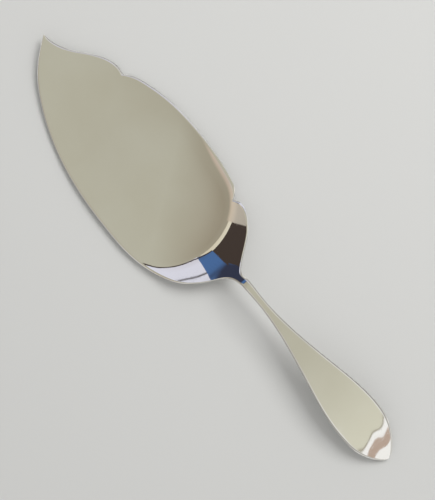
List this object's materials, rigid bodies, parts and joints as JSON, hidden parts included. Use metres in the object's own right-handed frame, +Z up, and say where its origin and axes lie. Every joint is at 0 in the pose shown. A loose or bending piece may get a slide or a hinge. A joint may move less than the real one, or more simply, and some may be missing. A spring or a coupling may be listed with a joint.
{
  "type": "fish server",
  "caption": "Flat silver fish server with a broad leaf-shaped blade, cusped notches along one edge, a raised heel and an arched handle with a pointed, turned-down end.",
  "frame": {"origin": "centre of the part's box, on the surface that it lies on", "axes": "+X from the handle to the point of the blade, +Y towards the plain edge, +Z up out of the blade's upper face"},
  "size_m": [0.298, 0.073, 0.0182],
  "materials": {
    "polished_silver": "mirror-polished silver with fine table scratches",
    "silver_solder": "hard silver solder, filed flush and polished"
  },
  "bodies": {
    "root": {"blade": "polished_silver", "handle": "polished_silver", "solder_seam": "silver_solder"}
  },
  "joints": []
}
